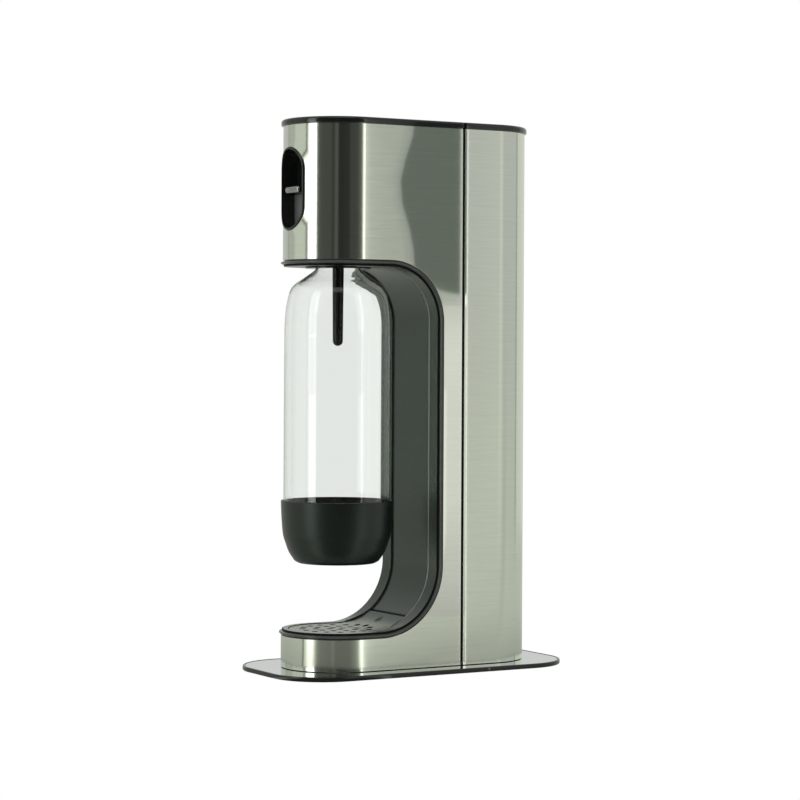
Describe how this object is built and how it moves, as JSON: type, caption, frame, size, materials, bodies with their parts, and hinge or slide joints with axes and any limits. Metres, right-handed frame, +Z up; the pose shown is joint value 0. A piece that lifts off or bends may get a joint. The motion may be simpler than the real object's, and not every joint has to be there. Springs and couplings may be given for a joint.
{
  "type": "sparkling water maker",
  "caption": "Steel-clad countertop sparkling water maker: finger lever in the nose, hanging bottle in a C-shaped bay, lift-out drip tray and pull-off rear cover over a gas cylinder.",
  "frame": {"origin": "bottom centre of the object, on the surface that its foot pads stand on", "axes": "+Z up, +Y from the nose with the bottle and lever towards the rear cover, +X to the right seen from the front"},
  "size_m": [0.1264, 0.255, 0.432],
  "materials": {
    "brushed_steel": "horizontally brushed stainless sheet",
    "mirror_steel": "mirror polished stainless sheet",
    "black_plastic": "semi-gloss moulded plastic",
    "bay_plastic": "satin dark grey moulded plastic",
    "cup_plastic": "satin black moulded plastic",
    "rubber": "matt",
    "clear_plastic": "clear blown bottle plastic",
    "inner_plastic": "moulded glass-filled plastic",
    "bright_metal": "satin chrome plating",
    "brass": "machined",
    "plated_steel": "zinc plated",
    "cylinder_metal": "satin drawn cylinder"
  },
  "bodies": {
    "housing": {"base_pan": "black_plastic", "base_plate": "mirror_steel", "foot_pad_front_left": "rubber", "foot_pad_rear_left": "rubber", "foot_pad_front_right": "rubber", "foot_pad_rear_right": "rubber", "base_screw_front_left": "plated_steel", "base_screw_rear_left": "plated_steel", "base_screw_front_right": "plated_steel", "base_screw_rear_right": "plated_steel", "chassis": "inner_plastic", "front_skin": "brushed_steel", "top_cap": "black_plastic", "bay_liner": "bay_plastic", "bay_panel": "bay_plastic", "seam_frame": "black_plastic", "bottle_socket": "black_plastic", "neck_seal": "rubber", "carbonating_head": "inner_plastic", "nozzle": "black_plastic", "relief_valve": "brass", "valve_socket": "brass", "socket_nut": "plated_steel", "valve_washer": "rubber", "gas_pipe": "plated_steel", "pipe_nut_front": "brass", "pipe_nut_rear": "brass", "cylinder_pad": "rubber", "lever_bezel": "black_plastic", "lever_pin": "plated_steel", "pivot_clip_left": "plated_steel", "pivot_clip_right": "plated_steel", "return_spring": "plated_steel"},
    "lever": {"lever_arm": "inner_plastic", "lever_tab": "bright_metal", "lever_apron": "bay_plastic", "press_screw": "plated_steel"},
    "plunger": {"valve_plunger": "plated_steel"},
    "gas_cylinder": {"gas_cylinder": "cylinder_metal", "cylinder_valve": "brass"},
    "valve_pin": {"valve_pin": "plated_steel"},
    "rear_cover": {"rear_skin": "brushed_steel", "rear_cap": "black_plastic", "cover_frame": "inner_plastic", "cover_clip_left": "plated_steel", "cover_clip_right": "plated_steel"},
    "bottle": {"bottle_vessel": "clear_plastic", "bottle_cup": "cup_plastic"},
    "drip_tray": {"tray_pan": "inner_plastic", "tray_grille": "bay_plastic"}
  },
  "joints": [
    {"name": "lever_press", "type": "hinge", "parent": "housing", "child": "lever", "pos_m": [0, 0.088, 0.3957], "axis": [1, 0, 0], "range_deg": [0, 4.4], "stiffness_Nm_per_rad": 20, "springref_deg": -1.15, "deforming": ["return_spring"]},
    {"name": "plunger_slide", "type": "slide", "parent": "housing", "child": "plunger", "axis": [0, 0, -1], "range_m": [0, 0.0021]},
    {"name": "cylinder_release", "type": "slide", "parent": "housing", "child": "gas_cylinder", "axis": [0, 0, -1], "range_m": [0, 0.012]},
    {"name": "valve_pin_slide", "type": "slide", "parent": "gas_cylinder", "child": "valve_pin", "axis": [0, 0, -1], "range_m": [0, 0.0021]},
    {"name": "cover_slide", "type": "slide", "parent": "housing", "child": "rear_cover", "axis": [0, 1, 0], "range_m": [0, 0.13]},
    {"name": "bottle_release", "type": "slide", "parent": "housing", "child": "bottle", "axis": [0, 0, -1], "range_m": [0, 0.016]},
    {"name": "tray_lift", "type": "slide", "parent": "housing", "child": "drip_tray", "axis": [0, 0, 1], "range_m": [0, 0.028]}
  ],
  "couplings": [
    {"joint": "plunger_slide", "follows": "lever_press", "m_per_rad": 0.027},
    {"joint": "valve_pin_slide", "follows": "lever_press", "m_per_rad": 0.027}
  ]
}
